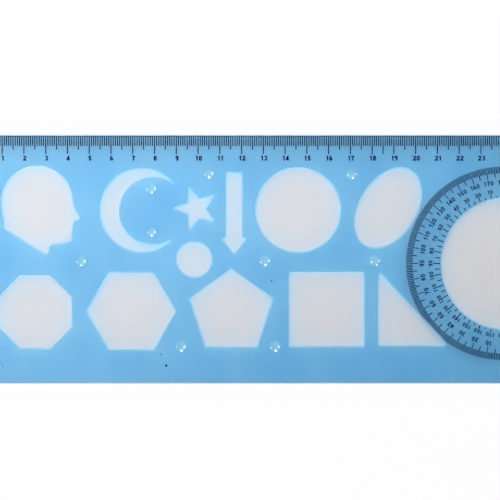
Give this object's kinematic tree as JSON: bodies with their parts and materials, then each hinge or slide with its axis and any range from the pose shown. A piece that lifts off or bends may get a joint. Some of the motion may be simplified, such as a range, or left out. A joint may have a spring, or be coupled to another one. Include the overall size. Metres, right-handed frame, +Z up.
{
  "type": "geometric shape template",
  "caption": "Clear blue rectangular drawing template with geometric, arrow, star, crescent and head cut-outs, a protractor opening and a graduated scale.",
  "frame": {"origin": "middle of the plate in plan, on the surface that it lies on", "axes": "+X along the scale towards its high end, +Y from the middle towards the scale edge, +Z up from the underside to the printed face"},
  "size_m": [0.31, 0.114, 0.0021],
  "materials": {
    "blue_plastic": "clear blue, moulded, glossy",
    "ink": "printed dark blue ink"
  },
  "bodies": {
    "root": {"template_plate": "blue_plastic", "scale_print": "ink", "degree_line_000": "ink", "degree_line_010": "ink", "degree_line_020": "ink", "degree_line_030": "ink", "degree_line_040": "ink", "degree_line_050": "ink", "degree_line_060": "ink", "degree_line_070": "ink", "degree_line_080": "ink", "degree_line_090": "ink", "degree_line_100": "ink", "degree_line_110": "ink", "degree_line_120": "ink", "degree_line_130": "ink", "degree_line_140": "ink", "degree_line_150": "ink", "degree_line_160": "ink", "degree_line_170": "ink", "degree_line_180": "ink", "degree_line_190": "ink", "degree_line_200": "ink", "degree_line_210": "ink", "degree_line_220": "ink", "degree_line_230": "ink", "degree_line_240": "ink", "degree_line_250": "ink", "degree_line_260": "ink", "degree_line_270": "ink", "degree_line_280": "ink", "degree_line_290": "ink", "degree_line_300": "ink", "degree_line_310": "ink", "degree_line_320": "ink", "degree_line_330": "ink", "degree_line_340": "ink", "degree_line_350": "ink"}
  },
  "joints": []
}
